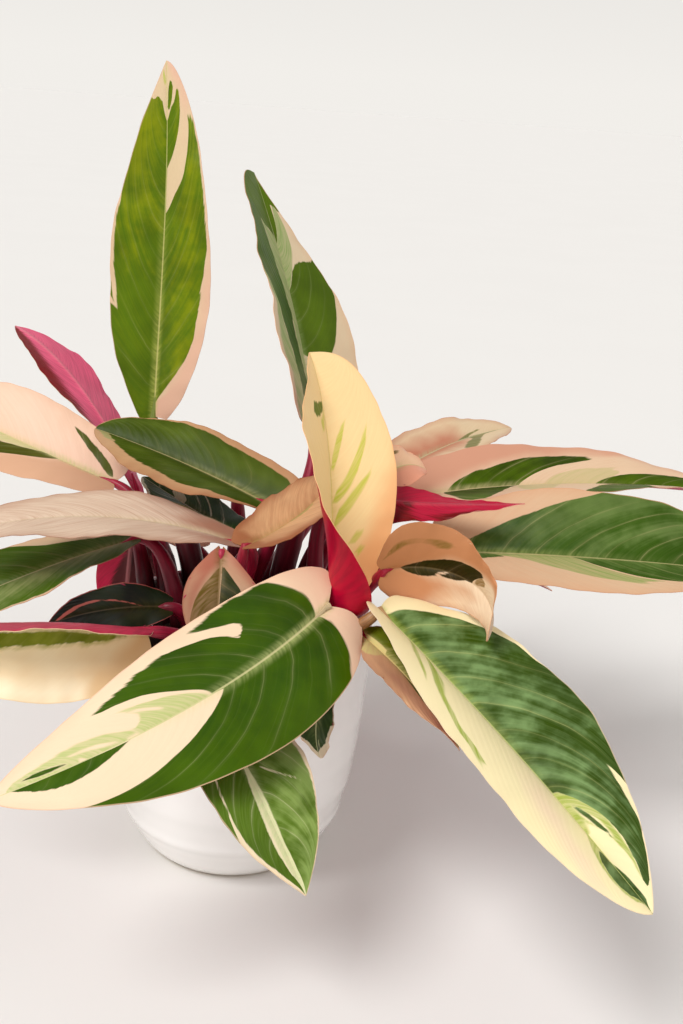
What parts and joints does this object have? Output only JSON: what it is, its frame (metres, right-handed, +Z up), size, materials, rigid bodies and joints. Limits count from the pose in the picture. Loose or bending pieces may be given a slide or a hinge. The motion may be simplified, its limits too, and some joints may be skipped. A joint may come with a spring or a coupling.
{
  "type": "potted prayer plant",
  "caption": "Stromanthe triostar in a round glazed pot: long variegated leaves in green, cream and pink with crimson undersides, on slim stalks that rise from dark soil.",
  "frame": {"origin": "centre of the pot's foot, on the surface that the pot stands on", "axes": "+Z up along the pot's axis, +X to the right and +Y away as the plant is seen from its fuller side"},
  "size_m": [0.5353, 0.4163, 0.4332],
  "materials": {
    "glaze": "gloss",
    "soil": "rough",
    "leaf_green": "satin",
    "leaf_cream": "satin",
    "leaf_blush": "satin",
    "leaf_crimson": "satin"
  },
  "bodies": {
    "root": {"pot": "glaze", "soil": "soil", "leaf_tall_left": "leaf_green", "leaf_tall_middle": "leaf_green", "leaf_green_upper_left": "leaf_green", "leaf_cream_centre": "leaf_cream", "leaf_peach_small": "leaf_blush", "leaf_blush_far_left": "leaf_blush", "leaf_beige_left": "leaf_blush", "leaf_crimson_back": "leaf_crimson", "leaf_dark_left": "leaf_green", "leaf_dark_small": "leaf_green", "leaf_tan_low_left": "leaf_cream", "leaf_front_left": "leaf_green", "leaf_front_right": "leaf_green", "leaf_under_right": "leaf_blush", "leaf_drooping_right": "leaf_blush", "leaf_green_right": "leaf_green", "leaf_pink_right": "leaf_blush", "leaf_pink_back_right": "leaf_blush", "leaf_curled_young": "leaf_blush", "leaf_twisted_right": "leaf_crimson", "leaf_front_low": "leaf_green", "leaf_low_tip": "leaf_green", "leaf_hanging_centre": "leaf_blush", "leaf_striped_inner": "leaf_green", "leaf_hanging_back_left": "leaf_crimson", "leaf_back_middle": "leaf_green", "leaf_back_right": "leaf_blush", "leaf_back_left": "leaf_green", "leaf_back_low_right": "leaf_green"}
  },
  "joints": []
}
